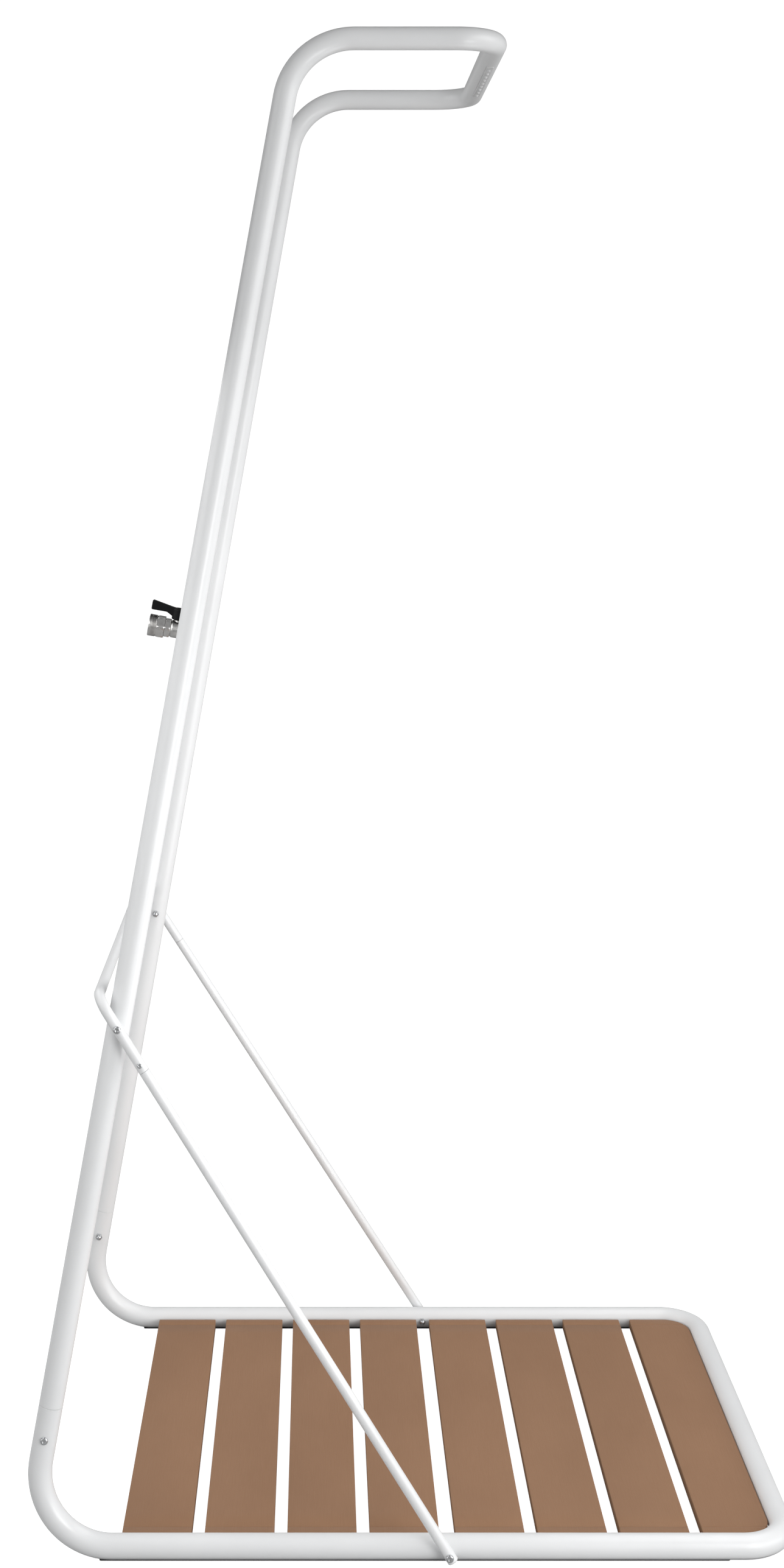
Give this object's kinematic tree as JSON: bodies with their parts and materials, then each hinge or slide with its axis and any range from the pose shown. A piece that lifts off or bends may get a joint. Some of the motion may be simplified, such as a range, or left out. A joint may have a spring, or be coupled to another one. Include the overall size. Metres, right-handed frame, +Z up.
{
  "type": "outdoor shower stand",
  "caption": "Free-standing garden shower of bent white tube that leans forward over a low slatted standing platform, with two stays, an overhead spray bar and a quarter-turn water valve.",
  "frame": {"origin": "on the floor under the middle of the whole object's box", "axes": "+X towards the front edge of the platform, +Y to the left of somebody who stands on it facing +X, +Z up"},
  "size_m": [1.1178, 0.8752, 2.2306],
  "materials": {
    "frame_coat": "semi-gloss white powder coat",
    "slat_composite": "matte brown composite, finely brushed along the length",
    "stainless": "satin stainless",
    "plug_aluminium": "turned",
    "strip_rubber": "matt grey rubber",
    "valve_nickel": "satin nickel plate",
    "lever_plastic": "fine grained black",
    "spray_silicone": "matt silicone rubber"
  },
  "bodies": {
    "frame": {"base_frame": "frame_coat", "upper_frame": "frame_coat", "stay_yoke": "frame_coat", "stay_right": "frame_coat", "stay_left": "frame_coat", "joint_spigot_right": "plug_aluminium", "joint_spigot_left": "plug_aluminium", "stay_spigot_right": "plug_aluminium", "stay_spigot_left": "plug_aluminium", "joint_bolt_right": "stainless", "joint_cap_nut_right": "stainless", "joint_bolt_left": "stainless", "joint_cap_nut_left": "stainless", "yoke_bolt_right": "stainless", "yoke_cap_nut_right": "stainless", "yoke_bolt_left": "stainless", "yoke_cap_nut_left": "stainless", "foot_bolt_right": "stainless", "foot_cap_nut_right": "stainless", "foot_bolt_left": "stainless", "foot_cap_nut_left": "stainless", "stay_set_screw_right": "stainless", "stay_set_screw_left": "stainless", "slat_1": "slat_composite", "slat_2": "slat_composite", "slat_3": "slat_composite", "slat_4": "slat_composite", "slat_5": "slat_composite", "slat_6": "slat_composite", "slat_7": "slat_composite", "slat_8": "slat_composite", "slat_screw_1_right": "stainless", "slat_screw_1_left": "stainless", "slat_screw_2_right": "stainless", "slat_screw_2_left": "stainless", "slat_screw_3_right": "stainless", "slat_screw_3_left": "stainless", "slat_screw_4_right": "stainless", "slat_screw_4_left": "stainless", "slat_screw_5_right": "stainless", "slat_screw_5_left": "stainless", "slat_screw_6_right": "stainless", "slat_screw_6_left": "stainless", "slat_screw_7_right": "stainless", "slat_screw_7_left": "stainless", "slat_screw_8_right": "stainless", "slat_screw_8_left": "stainless", "floor_strip_right": "strip_rubber", "floor_strip_left": "strip_rubber", "floor_strip_front": "strip_rubber", "valve_body": "valve_nickel", "hose_connector": "valve_nickel", "spray_strip": "spray_silicone"},
    "lever": {"valve_lever": "lever_plastic", "valve_stem": "stainless", "valve_ball": "valve_nickel", "lever_nut": "stainless"}
  },
  "joints": [
    {"name": "lever_turn", "type": "hinge", "parent": "frame", "child": "lever", "pos_m": [-0.39088, 0.34604, 1.27169], "axis": [0.1739, -0.0424, 0.9838], "range_deg": [-90, 0]}
  ]
}
